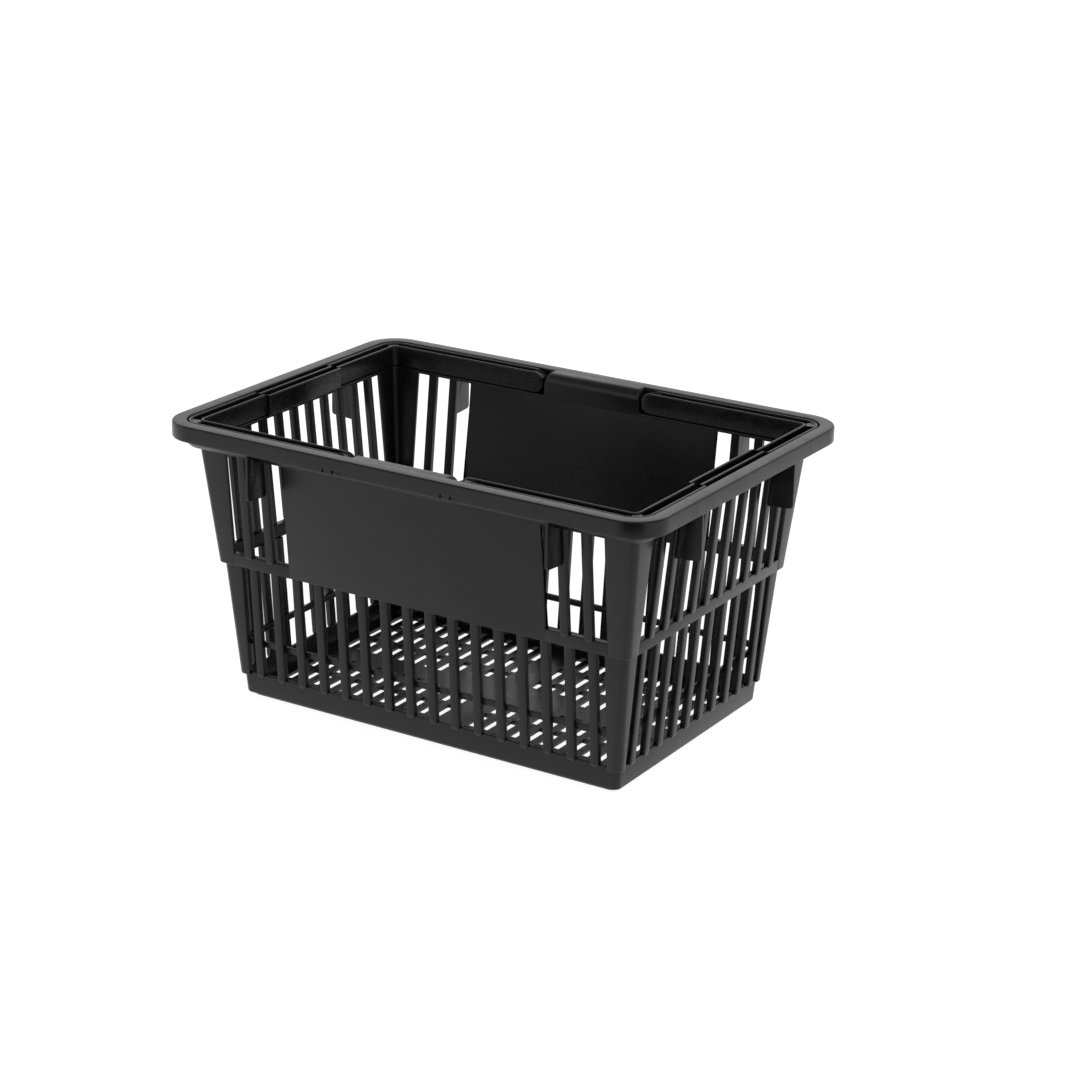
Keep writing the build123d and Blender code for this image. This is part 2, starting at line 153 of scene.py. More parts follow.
def round_loop(corners, radii, steps=4):
    """Closed outline with round corners.

    At a corner P between unit directions a and b, an angle f apart, the arc of radius r has its
    middle at P + (a + b) / |a + b| * r / sin(f / 2) and starts at P + a * r / tan(f / 2).
    The second result is the wear weight of each point, highest on the middle of an arc.
    """
    p = np.array(corners, float)
    r = np.maximum(np.array(radii, float), 0.05)[:, None]
    a = np.roll(p, 1, 0) - p
    b = np.roll(p, -1, 0) - p
    a /= np.linalg.norm(a, axis=1)[:, None]
    b /= np.linalg.norm(b, axis=1)[:, None]
    half = np.arccos(np.clip((a * b).sum(1), -1, 1))[:, None] / 2
    middle = p + (a + b) / np.linalg.norm(a + b, axis=1)[:, None] * r / np.sin(half)
    first = p + a * r / np.tan(half) - middle
    last = p + b * r / np.tan(half) - middle
    start = np.arctan2(first[:, 1], first[:, 0])
    turn = np.arctan2(last[:, 1], last[:, 0]) - start
    turn = (turn + np.pi) % (2 * np.pi) - np.pi
    t = np.linspace(0, 1, steps + 1)
    angle = start[:, None] + turn[:, None] * t
    points = middle[:, None] + r[:, None] * np.stack([np.cos(angle), np.sin(angle)], -1)
    weight = np.sin(np.pi * t)[None] * np.minimum(r, 1.0)
    return points.reshape(-1, 2), weight.reshape(-1)


def normals_2d(loop):
    """Unit normals of a closed outline that point out of it: the tangent turned a quarter."""
    tangent = np.roll(loop, -1, 0) - np.roll(loop, 1, 0)
    tangent /= np.linalg.norm(tangent, axis=1)[:, None]
    x, y = loop.T
    turning = np.sign((x * np.roll(y, -1) - np.roll(x, -1) * y).sum())
    return turning * np.stack([tangent[:, 1], -tangent[:, 0]], -1)


def round_ends(start, stop, radius, steps=3):
    """Stations along a run with quarter-round ends.

    At an angle t the station lies r (1 - cos t) from the end and is set in by r (1 - sin t).
    """
    t = np.linspace(0, np.pi / 2, steps + 1)
    from_end = radius * (1 - np.cos(t))
    inset = radius * (1 - np.sin(t))
    stations = np.concatenate([start + from_end, stop - from_end[::-1]])
    return stations, np.concatenate([inset, inset[::-1]])


def quads(n, m, loop):
    """Corner numbers of the quads of an n by m grid whose second direction closes on itself."""
    i = np.arange(n if loop else n - 1)[:, None]
    j = np.arange(m)[None]
    following = (i + 1) % n
    beside = (j + 1) % m
    corners = [i * m + j, i * m + beside, following * m + beside, following * m + j]
    return np.stack(np.broadcast_arrays(*corners), -1).reshape(-1, 4)


def signed_volume(points, faces):
    """Sum of p0 . (p1 x p2) / 6 over the triangles of all faces."""
    total = 0.0
    for face in faces:
        p = points[face]
        total += (np.cross(p[1:-1], p[2:]) @ p[0]).sum()
    return total / 6


def surface(points, wear, loop=False):
    """Closed surface from rings of points (n, m, 3): quads between rings, a face over each end."""
    n, m = points.shape[:2]
    faces = quads(n, m, loop).tolist()
    if not loop:
        faces += [list(range(m - 1, -1, -1)), list(range((n - 1) * m, n * m))]
    flat = points.reshape(-1, 3)
    if signed_volume(flat, faces) < 0:
        faces = [face[::-1] for face in faces]
    return flat, faces, np.broadcast_to(wear, (n, m)).reshape(-1)


def mesh_piece(name, parts, body, material, replaced):
    """One object from several closed surfaces, with its wear weights as a point attribute."""
    points, faces, wear = [], [], []
    count = 0
    for part_points, part_faces, part_wear in parts:
        points.append(part_points)
        wear.append(part_wear)
        faces += [[count + k for k in face] for face in part_faces]
        count += len(part_points)
    mesh = bpy.data.meshes.new(name)
    mesh.from_pydata((np.concatenate(points) * MM).tolist(), [], faces)
    mesh.polygons.foreach_set("use_smooth", np.ones(len(mesh.polygons), bool))
    mesh.set_sharp_from_angle(angle=SHARP_ANGLE)
    attribute = mesh.attributes.new("wear", "FLOAT", "POINT")
    attribute.data.foreach_set("value", np.concatenate(wear).astype(np.float32))
    mesh.update()
    piece = bpy.data.objects.new(name, mesh)
    bpy.context.scene.collection.objects.link(piece)
    mesh.materials.append(material)
    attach(piece, body)
    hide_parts(*replaced)


# ---------------------------------------------------------------- wall geometry
SIDES = {"front": (0, -1), "back": (0, 1), "right": (1, 0), "left": (-1, 0)}


def on_side(side, out, along, z):
    """Point at a distance out from the middle plane and along a wall, turned to its side."""
    nx, ny = SIDES[side]
    out, along, z = np.broadcast_arrays(out, along, z)
    return np.stack([nx * out - ny * along, ny * out + nx * along, z], -1)


def rim_half(side):
    """Half size of the rim across a wall."""
    return HALF_WIDTH if side in ("front", "back") else HALF_LENGTH


def upper_face(half, z):
    """Outer face of the upper tier: half - inset - lean (top - z)."""
    return half - WALL_INSET - UPPER_LEAN * (WALL_TOP - z)


def lower_face(half, z):
    """Outer face of the lower tier: the upper face at the mid band, a step in, its own lean."""
    return upper_face(half, MID_LOW) - UPPER_STEP - LOWER_LEAN * (MID_LOW - z)


def base_face(half, z):
    """Outer face of the base band."""
    return lower_face(half, BASE_TOP) - LOWER_STEP - BASE_LEAN * (BASE_TOP - z)


def bar_places(side):
    """Centres of the bars of a side."""
    count = BARS_LONG if side in ("front", "back") else BARS_END
    return (np.arange(count) - (count - 1) / 2) * PITCH


def post_edge(side, slot):
    """Distance from a wall's middle to the corner post's edge."""
    return bar_places(side)[-1] + BAR_WIDTH / 2 + slot


def wall_run(side, corners, radii, start, stop, end_round=END_ROUND):
    """Outline of (out, z) points carried along a wall, with its edges and ends rounded."""
    loop, weight = round_loop(corners, radii)
    along, inset = round_ends(start, stop, end_round)
    carried = loop[None] - inset[:, None, None] * normals_2d(loop)[None]
    points = on_side(side, carried[..., 0], along[:, None], carried[..., 1])
    wear = np.maximum(weight[None], (inset > 0)[:, None] * 0.7)
    return surface(points, wear)


def bar(side, at, face, z_tip, z_top, depth):
    """Upright bar with a crowned face and a round lower end.

    The section is a round-cornered rectangle whose face falls back by crown (x / r)^2, r being
    half the width. At a height t above the tip the width is multiplied by
    sqrt(1 - (1 - t / r)^2), and the face drops back as it narrows.
    """
    half = BAR_WIDTH / 2
    corners = [(-half, 0), (half, 0), (half, depth), (-half, depth)]
    loop, weight = round_loop(corners, [1.0, 1.0, 0.6, 0.6])
    front = loop[:, 1] < depth / 2
    crown = BAR_CROWN * (loop[:, 0] / half) ** 2 * front
    t = np.concatenate([half * TIP_RINGS, [z_top - z_tip]])
    narrow = np.sqrt(1 - (1 - np.minimum(t / half, 1)) ** 2)
    z = (z_tip + t)[:, None]
    back = loop[None, :, 1] + crown + TIP_DROP * (1 - narrow[:, None]) * front
    points = on_side(side, face(z) - back, at + loop[None, :, 0] * narrow[:, None], z)
    return surface(points, np.broadcast_to(weight[None], points.shape[:2]))


def lower_bars(side):
    """Bars of the lower tier, their round ends lapping over the base band."""
    half = rim_half(side)
    tip, top = BASE_TOP - BAR_LAP, MID_LOW + LAP
    return [
        bar(side, at, lambda z: lower_face(half, z), tip, top, BAR_DEPTH)
        for at in bar_places(side)
    ]


def upper_bars(side):
    """Bars of the upper tier; a long wall leaves its middle to the panel."""
    half = rim_half(side)
    places = bar_places(side)
    if side in ("front", "back"):
        places = places[np.abs(places) > PANEL_HALF + BAR_WIDTH]
    tip, top = MID_TOP - BAR_LAP, WALL_TOP + LAP
    return [
        bar(side, at, lambda z: upper_face(half, z) + BAR_PROUD, tip, top, BAR_DEPTH)
        for at in places
    ]


def mid_band(side):
    """Ledge between the tiers: its lip stands a step proud of the lower bars."""
    half = rim_half(side)
    low, high = upper_face(half, MID_LOW), upper_face(half, MID_TOP)
    corners = [
        (low, MID_LOW),
        (high, MID_TOP),
        (high - MID_DEPTH, MID_TOP),
        (low - MID_DEPTH, MID_LOW),
    ]
    edge = post_edge(side, UPPER_SLOT) + END_ROUND
    beside_panel = PANEL_HALF - 1.0
    runs = [(-edge, edge)]
    if side in ("front", "back"):
        runs = [(-edge, -beside_panel), (beside_panel, edge)]
    return [wall_run(side, corners, [1.3, 0.9, 0.7, 0.7], start, stop) for start, stop in runs]


def panel(side):
    """Solid panel, thicker along its lower edge, with rounded upright edges."""
    half = rim_half(side)
    top = WALL_TOP + LAP
    face_low, face_high = upper_face(half, MID_LOW), upper_face(half, top)
    band = upper_face(half, MID_TOP)
    corners = [
        (face_low, MID_LOW),
        (face_high, top),
        (face_high - WALL, top),
        (band - WALL, MID_TOP),
        (band - MID_DEPTH, MID_TOP),
        (face_low - MID_DEPTH, MID_LOW),
    ]
    radii = [1.4, 0.4, 0.4, 1.0, 1.0, 1.0]
    return [wall_run(side, corners, radii, -PANEL_HALF, PANEL_HALF, end_round=1.2)]


def inner_rail(side):
    """Thin rail that ties the lower bars together on the inside."""
    half = rim_half(side)
    low, high = inner_rail_low[2], inner_rail_high[2]
    into_bars = 0.8
    back_low = lower_face(half, low) - BAR_DEPTH
    back_high = lower_face(half, high) - BAR_DEPTH
    corners = [
        (back_low + into_bars, low),
        (back_high + into_bars, high),
        (back_high - SHEET, high),
        (back_low - SHEET, low),
    ]
    edge = post_edge(side, LOWER_SLOT) + LAP
    return [wall_run(side, corners, [0.4, 0.4, 1.0, 1.0], -edge, edge, end_round=0.4)]


def gussets(side):
    """Two fins outside a wall, on the second bar from each post, up into the rim."""
    half = rim_half(side)
    root = BAR_PROUD - 1.0
    skirt, leg = half - SHEET + 0.3, half - FLANGE + SHEET
    high, under = RIM_TOP - SHEET + BITE, WALL_TOP + 0.3
    corners = [
        (upper_face(half, GUSSET_LOW) + root, GUSSET_LOW),
        (skirt, GUSSET_LOW + 1.5),
        (skirt, high),
        (leg - BITE, high),
        (leg - BITE, WALL_TOP + CHANNEL_BEVEL - 0.2),
        (leg - CHANNEL_BEVEL, under),
        (upper_face(half, WALL_TOP) + root, under),
    ]
    radii = [0.4, 3.0, 0.6, 0.4, 0.4, 0.4, 0.4]
    places = bar_places(side)[1] * np.array([-1, 1])
    half_sheet = SHEET / 2
    return [
        wall_run(side, corners, radii, at - half_sheet, at + half_sheet, end_round=0.4)
        for at in places
    ]


# ---------------------------------------------------------------- corner posts
def post_outline(x_face, y_face, x_edge, y_edge, wall):
    """L-shaped outline of a post at one height, with a round outer and inner corner."""
    inner = max(WALL_CORNER - wall, 1.0)
    corners = [
        (x_edge, y_face),
        (x_face, y_face),
        (x_face, y_edge),
        (x_face - wall, y_edge),
        (x_face - wall, y_face - wall),
        (x_edge, y_face - wall),
    ]
    return round_loop(corners, [1.2, WALL_CORNER, 1.2, 0.7, inner, 0.7], steps=6)


def post_ring(sx, sy, z, inset, face, slot, wall, back_off=0.0):
    """Outline of a post at the height z, set in by inset, at the corner with the signs sx, sy."""
    x_face, y_face = face(HALF_LENGTH, z) - back_off, face(HALF_WIDTH, z) - back_off
    x_edge, y_edge = post_edge("front", slot), post_edge("right", slot)
    loop, weight = post_outline(x_face, y_face, x_edge, y_edge, wall)
    loop = loop - inset * normals_2d(loop)
    return np.column_stack([sx * loop[:, 0], sy * loop[:, 1], np.full(len(loop), z)]), weight


def corner_post(sx, sy):
    """Stepped corner post: the L-shaped outline carried up both tiers, each part closed."""
    parts = []
    tiers = [
        (lower_face, LOWER_SLOT, BAR_DEPTH, BASE_TOP - BAR_LAP, MID_LOW + LAP),
        (upper_face, UPPER_SLOT, WALL, MID_LOW, WALL_TOP + LAP),
    ]
    for face, slot, wall, z_low, z_high in tiers:
        rings, weights = [], []
        for rise, inset in (*FOOT_ROUND, (z_high - z_low, 0.0)):
            ring, weight = post_ring(sx, sy, z_low + rise, inset, face, slot, wall)
            rings.append(ring)
            weights.append(np.maximum(weight, 0.6 * (inset > 0)))
        parts.append(surface(np.array(rings), np.array(weights)))
    parts.append(post_shelf(sx, sy))
    return parts


def post_shelf(sx, sy):
    """Thick ledge of a post at the mid band's height, in line with the band's inner face."""
    back_off = 0.2
    rows = ((MID_LOW + 0.1, 0.5), (MID_LOW + 0.6, 0.1), (MID_TOP - 0.5, 0.1), (MID_TOP, 0.5))
    wall = MID_DEPTH - back_off
    rings = [
        post_ring(sx, sy, z, inset, upper_face, UPPER_SLOT, wall, back_off) for z, inset in rows
    ]
    points, weights = zip(*rings)
    return surface(np.array(points), np.array(weights))


# ---------------------------------------------------------------- things carried round the basket
def carry_round(loop, z, sx, sy):
    """Outline of (inward, z) points carried round a corner of the rim's plan.

    With n = (cos a, sin a) at the angle a, a point a distance d inward from the edge lies at
    m + n (r - d), m being the middle and r the radius of the corner. z has a row per station.
    """
    angle = np.linspace(0, np.pi / 2, len(z))[:, None]
    left = RIM_CORNER - loop[None, :, 0]
    x = HALF_LENGTH - RIM_CORNER + np.cos(angle) * left
    y = HALF_WIDTH - RIM_CORNER + np.sin(angle) * left
    return np.stack([sx * x, sy * y, z], -1)


def rim_corners():
    """Section of the rim as (inward, z), with its radii: flange, skirt and handle channel."""
    skirt = RIM_TOP - SKIRT_DEPTH
    leg = FLANGE - SHEET
    corners = [
        (0, skirt),
        (0, RIM_TOP),
        (FLANGE, RIM_TOP),
        (FLANGE, CHANNEL_FLOOR + BEVEL_INSIDE),
        (FLANGE + BEVEL_INSIDE, CHANNEL_FLOOR),
        (RIM_REACH, CHANNEL_FLOOR),
        (RIM_REACH, WALL_TOP),
        (leg + CHANNEL_BEVEL, WALL_TOP),
        (leg, WALL_TOP + CHANNEL_BEVEL),
        (leg, RIM_TOP - SHEET),
        (SHEET, RIM_TOP - SHEET),
        (SHEET, skirt),
    ]
    return corners, [0.9, 1.6, 1.0, 1.0, 1.0, 1.2, 0.05, 2.4, 2.4, 0.8, 1.0, 0.7]


def rim_corner(sx, sy):
    """Quarter turn of the rim."""
    loop, weight = round_loop(*rim_corners())
    z = np.broadcast_to(loop[:, 1], (15, len(loop)))
    return [surface(carry_round(loop, z, sx, sy), weight)]


def seam_stations(start, stop, seams, notches):
    """Stations of a straight rim: place, depth of a groove, rise of the skirt's edge."""
    rows = [(start, 0.0, 0.0), (stop, 0.0, 0.0)]
    for at in seams:
        held = (at - SEAM_HALF - SEAM_HOLD, at + SEAM_HALF + SEAM_HOLD)
        rows += [(x, 0.0, 0.0) for x in held if start < x < stop]
        rows += [(at - SEAM_HALF, 0.0, 0.0), (at, SEAM_DEPTH, 0.0), (at + SEAM_HALF, 0.0, 0.0)]
    for low, high in notches:
        rows += [(low - NOTCH_EDGE, 0.0, 0.0), (low + NOTCH_EDGE, 0.0, NOTCH_RISE)]
        rows += [(high - NOTCH_EDGE, 0.0, NOTCH_RISE), (high + NOTCH_EDGE, 0.0, 0.0)]
    return np.array(sorted(rows))


def rim_rail(side):
    """Straight part of the rim, with its seam lines and the notches in the skirt's edge."""
    long_side = side in ("front", "back")
    loop, weight = round_loop(*rim_corners())
    outer = ((loop[:, 0] < 1.0) | (loop[:, 1] > RIM_TOP - 0.5)).astype(float)
    skirt_edge = (loop[:, 0] < SHEET + 0.1) & (loop[:, 1] < RIM_TOP - SKIRT_DEPTH + 1.0)
    reach = CORNER_X if long_side else CORNER_Y
    rows = seam_stations(-reach, reach, SEAMS[side], SKIRT_NOTCHES if long_side else ())
    along, depth, rise = rows.T[..., None]
    carried = loop[None] - depth[..., None] * outer[None, :, None] * normals_2d(loop)[None]
    z = carried[..., 1] + rise * skirt_edge[None]
    parts = [surface(on_side(side, rim_half(side) - carried[..., 0], along, z), weight)]
    if long_side:
        parts += [boss(side, x) for x in (-PIVOT_X, PIVOT_X)]
    return parts


def boss(side, at):
    """Round boss behind the flange that carries a pivot pin.

    Its section is turned about the pin's axis: along = at + r cos t, z = pivot + r sin t.
    """
    t = np.linspace(0, 2 * np.pi, 28, endpoint=False)[:, None]
    root, eased = HALF_WIDTH - FLANGE + SHEET - BITE, BOSS_DEPTH - BOSS_EASE
    depth = np.array([0.0, eased, BOSS_DEPTH, BOSS_DEPTH, eased, 0.0])
    outside = [BOSS_RADIUS, BOSS_RADIUS, BOSS_RADIUS - BOSS_EASE]
    radius = np.array([*outside, PIN_BORE + 0.2, PIN_BORE, PIN_BORE])
    points = on_side(side, root + depth, at + radius * np.cos(t), PIVOT_Z + radius * np.sin(t))
    return surface(points, wear=0.3, loop=True)


def rim_bridge(side):
    """Block between the handle ends, its inner edge rolled over and its ends sloped.

    An end lies at x = min(h, x0 - (z - z0) tan a), the line that the lifted arm leans along.
    """
    low, high = WALL_TOP + 0.1, RIM_TOP
    near, far = FLANGE - 1.2, RIM_REACH + 0.04
    corners = [
        (near, low + BEVEL_INSIDE),
        (near, high),
        (far, high),
        (far, low),
        (near + BEVEL_INSIDE, low),
    ]
    loop, weight = round_loop(corners, [0.3, 0.3, BRIDGE_ROLL, 0.05, 0.3], steps=9)
    clear, lean = PIVOT_X - BRIDGE_HALF, LEAN_PAST_UPRIGHT
    x0, z0 = PIVOT_X - clear * np.cos(lean), PIVOT_Z - clear * np.sin(lean)
    along, inset = round_ends(-BRIDGE_HALF, BRIDGE_HALF, BRIDGE_SOFT)
    sign, pull = np.sign(along)[:, None], BRIDGE_HALF - np.abs(along)[:, None]
    carried = loop[None] - inset[:, None, None] * normals_2d(loop)[None]
    inward, z = np.minimum(carried[..., 0], far), carried[..., 1]
    reach = np.minimum(BRIDGE_HALF, x0 - (z - z0) * np.tan(lean)) - pull
    points = on_side(side, HALF_WIDTH - inward, sign * reach, z)
    return [surface(points, np.maximum(weight[None], 0.5 * (inset > 0)[:, None]))]


def base_band():
    """Solid band round the floor: its outline carried round a rounded rectangle.

    With n = (cos a, sin a) at the angle a, a point a distance d inward from the face lies at
    m + n (r - d), m being the middle and r the radius of the corner it belongs to.
    """
    corners = [(0, BASE_LOW), (0, BASE_TOP), (WALL, BASE_TOP), (WALL, BASE_LOW)]
    loop, weight = round_loop(corners, [1.6, 0.9, 0.7, 0.4])
    left, z = WALL_CORNER - loop[None, :, 0], loop[None, :, 1]
    quarter = np.linspace(0, np.pi / 2, 8)
    angle = (np.arange(4)[:, None] * np.pi / 2 + quarter[None]).reshape(-1, 1)
    sx, sy = np.repeat([(1, -1, -1, 1), (1, 1, -1, -1)], len(quarter), axis=1)[..., None]
    x = sx * (base_face(HALF_LENGTH, z) - WALL_CORNER) + np.cos(angle) * left
    y = sy * (base_face(HALF_WIDTH, z) - WALL_CORNER) + np.sin(angle) * left
    return surface(np.stack([x, y, np.broadcast_to(z, x.shape)], -1), weight, loop=True)


# ---------------------------------------------------------------- handles
def handle_outline():
    """Section of a handle as (inward, z): a channel open at the top, with rounded lips."""
    near, far = ARM_INSET, ARM_INSET + HANDLE_WIDTH
    floor = HANDLE_BOTTOM + HANDLE_WALL
    corners = [
        (near, HANDLE_BOTTOM + HANDLE_BEVEL),
        (near, HANDLE_TOP),
        (near + HANDLE_WALL, HANDLE_TOP),
        (near + HANDLE_WALL, floor),
        (far - HANDLE_WALL, floor),
        (far - HANDLE_WALL, HANDLE_TOP),
        (far, HANDLE_TOP),
        (far, HANDLE_BOTTOM),
        (near + HANDLE_BEVEL, HANDLE_BOTTOM),
    ]
    return round_loop(corners, [1.0, 0.8, 0.8, 1.0, 1.0, 0.8, 0.9, 1.6, 1.0])


def channel_inside(loop):
    """1 for the points of a handle's section that lie on its channel's floor, else 0."""
    inward, z = loop.T
    lip, floor = 1.2, HANDLE_BOTTOM + HANDLE_WALL
    inside = np.abs(inward - ARM_INSET - HANDLE_WIDTH / 2) < HANDLE_WIDTH / 2 - lip
    return (inside & (z > floor - 0.2) & (z < floor + 1.2)).astype(float)


def handle_arm(sx, sy):
    """Arm of a handle: the section carried from the round pivot end to the corner.

    At a distance d behind the pivot its height shrinks as sqrt(1 - (d / R)^2), and the channel
    is filled. The outer face of the round end is a cone: past R - bevel it steps in by what the
    radius grows.
    """
    loop, weight = handle_outline()
    behind = PIVOT_END * np.sin(np.linspace(np.pi / 2 * 0.97, 0, 9))
    ahead = [PIVOT_X + 2.0, PIVOT_X + 6.0, PIVOT_X + 9.0, CORNER_X]
    x = np.concatenate([PIVOT_X - behind, ahead])[:, None]
    shrink = np.concatenate([np.sqrt(1 - (behind / PIVOT_END) ** 2), np.ones(4)])[:, None]
    fill = np.concatenate([np.ones(9), [1.0, 0.9, 0.0, 0.0]])[:, None]
    filled = HANDLE_TOP - FILL_DROP - HANDLE_BOTTOM - HANDLE_WALL
    z = loop[None, :, 1] + fill * channel_inside(loop)[None] * filled
    z = PIVOT_Z + (z - PIVOT_Z) * shrink
    middle, squeeze = ARM_INSET + HANDLE_WIDTH / 2, 1.2 * (1 - shrink) ** 2
    inward = loop[None, :, 0] - np.sign(loop[None, :, 0] - middle) * squeeze
    reach = np.hypot(np.minimum(x - PIVOT_X, 0), z - PIVOT_Z)
    cone = ARM_INSET + np.maximum(reach - (PIVOT_END - HANDLE_BEVEL), 0)
    inward = np.where(x <= PIVOT_X, np.maximum(inward, cone), inward)
    points = np.stack([np.broadcast_to(sx * x, z.shape), sy * (HALF_WIDTH - inward), z], -1)
    return [surface(points, weight)]


def handle_corner(sx, sy):
    """Corner of a handle: its channel floor rises to a web across the middle of the turn."""
    loop, weight = handle_outline()
    turn = np.abs(np.linspace(-1, 1, 17))[:, None]
    web = np.clip((0.62 - turn) / 0.08, 0, 1) * channel_inside(loop)[None]
    z = loop[None, :, 1] + web * (HANDLE_TOP - WEB_DROP - HANDLE_BOTTOM - HANDLE_WALL)
    return [surface(carry_round(loop, z, sx, sy), weight)]


def handle_grip(sx):
    """Cross-piece of a handle: straight shoulders and a grip that stands a little further in."""
    loop, weight = handle_outline()
    places = [CORNER_Y, GRIP_HALF + 1.2, GRIP_HALF + 0.3, GRIP_HALF - 0.3, GRIP_HALF - 1.2]
    share = [0.0, 0.0, 0.08, 0.92, 1.0]
    y = np.concatenate([np.negative(places), places[::-1]])
    shift = GRIP_SHIFT * np.array(share + share[::-1])
    x = HALF_LENGTH - loop[None, :, 0] - shift[:, None]
    y, z = np.broadcast_arrays(y[:, None], loop[None, :, 1])
    return [surface(np.stack([sx * x, y, z], -1), weight)]


# ---------------------------------------------------------------- materials
class Link:
    """Wraps a number output so that arithmetic on it adds Math nodes."""

    def __init__(self, nodes, socket):
        self.nodes, self.socket = nodes, socket

    def _math(self, operation, *values):
        return self.nodes.node("ShaderNodeMath", {"operation": operation}, dict(enumerate(values)))

    def __add__(self, other):
        return self._math("ADD", self, other)

    def __sub__(self, other):
        return self._math("SUBTRACT", self, other)

    def __rsub__(self, other):
        return self._math("SUBTRACT", other, self)

    def __mul__(self, other):
        return self._math("MULTIPLY", self, other)

    def __truediv__(self, other):
        return self._math("DIVIDE", self, other)

    def __rtruediv__(self, other):
        return self._math("DIVIDE", other, self)

    __radd__ = __add__
    __rmul__ = __mul__

    def clamp(self):
        """The value kept between 0 and 1."""
        return self.nodes.node("ShaderNodeClamp", {}, {0: self})

    def ramp(self, low, high):
        """0 at low and 1 at high, eased between."""
        settings = {"interpolation_type": "SMOOTHSTEP"}
        return self.nodes.node("ShaderNodeMapRange", settings, {0: self, 1: low, 2: high})


class Nodes:
    """The nodes of a material or of the world."""

    def __init__(self, tree):
        self.tree = tree

    def node(self, kind, settings, inputs, output=0):
        """Add a node: its settings first, then the values or links of its sockets."""
        made = self.tree.nodes.new(kind)
        for key, value in settings.items():
            setattr(made, key, value)
        for key, value in inputs.items():
            self.feed(made.inputs[key], value)
        return Link(self, made.outputs[output])

    def feed(self, socket, value):
        """Link a wrapped output to a socket, or set the socket's own value."""
        if isinstance(value, Link):
            self.tree.links.new(value.socket, socket)
        else:
            socket.default_value = value


class Finish(Nodes):
    """A material under construction."""

    def __init__(self, name):
        self.material = bpy.data.materials.new(name)
        self.material.use_nodes = True
        super().__init__(self.material.node_tree)
        self.shader = self.tree.nodes["Principled BSDF"]
        self.place = self.node("ShaderNodeTexCoord", {}, {}, "Object")

    def noise(self, scale, detail=2.0, rough=0.5, vector=None):
        """Noise on Object coordinates, about 0 to 1 round a half."""
        inputs = {
            "Vector": vector or self.place,
            "Scale": scale,
            "Detail": detail,
            "Roughness": rough,
        }
        return self.node("ShaderNodeTexNoise", {}, inputs)

    def stretched(self, scale):
        """Object coordinates stretched by a scale for each direction."""
        return self.node("ShaderNodeMapping", {}, {"Vector": self.place, "Scale": scale})

    def blend(self, factor, first, second):
        """Colour mix of two colours or links."""
        settings = {"data_type": "RGBA"}
        return self.node("ShaderNodeMix", settings, {"Factor": factor, 6: first, 7: second}, 2)

    def bump(self, height, strength, distance, normal=None):
        """Bump from a height, over another bump if one is given."""
        inputs = {"Height": height, "Strength": strength, "Distance": distance}
        if normal is not None:
            inputs["Normal"] = normal
        return self.node("ShaderNodeBump", {}, inputs)

    def attribute(self, name):
        """A number stored on the mesh's points."""
        return self.node("ShaderNodeAttribute", {"attribute_name": name}, {}, "Fac")

    def along(self, axis):
        """The Object coordinate along an axis, 0 being X."""
        return self.node("ShaderNodeSeparateXYZ", {}, {0: self.place}, axis)

    def set(self, **sockets):
        """Values or links of the shader's sockets, by name with underscores for spaces."""
        for key, value in sockets.items():
            self.feed(self.shader.inputs[key.replace("_", " ")], value)


def plastic(name, base, dusty, rough, spread, grain, polish=None):
    """Moulded polypropylene: fine grain, slow waviness, handling scuffs and paler worn edges."""
    finish = Finish(name)
    wear = finish.attribute("wear")
    cloud = finish.noise(14.0, 3.0, 0.6)
    mottle = finish.noise(120.0, 3.0, 0.6)
    fine = finish.noise(2600.0, 2.0, 0.6)
    scratch = finish.noise(90.0, 2.0, 0.7, finish.stretched((1.0, 1.0, 14.0)))
    scuff = (scratch.ramp(0.62, 0.72) * cloud.ramp(0.45, 0.65)).clamp()
    worn = (wear * mottle.ramp(0.35, 0.7)).clamp()
    dust = cloud.ramp(0.35, 0.75) * 0.5 + mottle.ramp(0.4, 0.8) * 0.3
    tint = (dust + worn * 0.6 + scuff * 0.12).clamp()
    roughness = rough + (mottle - 0.5) * spread + (cloud - 0.5) * spread
    roughness = roughness + scuff * 0.03 + worn * 0.04
    if polish is not None:
        roughness = roughness - polish(finish) * 0.1
    wave = finish.bump(finish.noise(26.0, 1.0, 0.5), strength=0.35, distance=0.0012)
    finish.set(
        Base_Color=finish.blend(tint, base, dusty),
        Roughness=roughness.clamp(),
        Normal=finish.bump(fine, grain, 0.00012, wave),
        IOR=1.38,
    )
    return finish.material


def middle_gloss(finish):
    """Polished patch round the middle of the floor: 1 inside an ellipse, fading outside it."""
    x, y = finish.along(0), finish.along(1)
    half_x_squared, half_y_squared = 0.0060, 0.0026
    far = x * x / half_x_squared + y * y / half_y_squared
    return 1 - far.ramp(0.4, 1.4)


DUSTY = (0.0065, 0.0065, 0.0068, 1)
basket_plastic = plastic(
    "black_polypropylene",
    base=(0.0026, 0.0027, 0.0029, 1),
    dusty=DUSTY,
    rough=0.30,
    spread=0.14,
    grain=0.35,
)
handle_plastic = plastic(
    "black_handle_polypropylene",
    base=(0.0026, 0.0028, 0.0031, 1),
    dusty=(0.0075, 0.0075, 0.008, 1),
    rough=0.28,
    spread=0.2,
    grain=0.25,
)
floor_plastic = plastic(
    "black_floor_polypropylene",
    base=(0.0026, 0.0026, 0.0028, 1),
    dusty=DUSTY,
    rough=0.32,
    spread=0.14,
    grain=0.2,
    polish=middle_gloss,
)

# ---------------------------------------------------------------- the basket
def mould(name, parts, body, replaced=None):
    """Piece of the basket or of a handle, in that body's plastic, in place of its CAD node."""
    if body == "basket":
        slot, material = "basket_plastic", basket_plastic
    else:
        slot, material = "handle_plastic", handle_plastic
    mesh_piece(f"{name}_moulding", parts, body, material, replaced or [name])


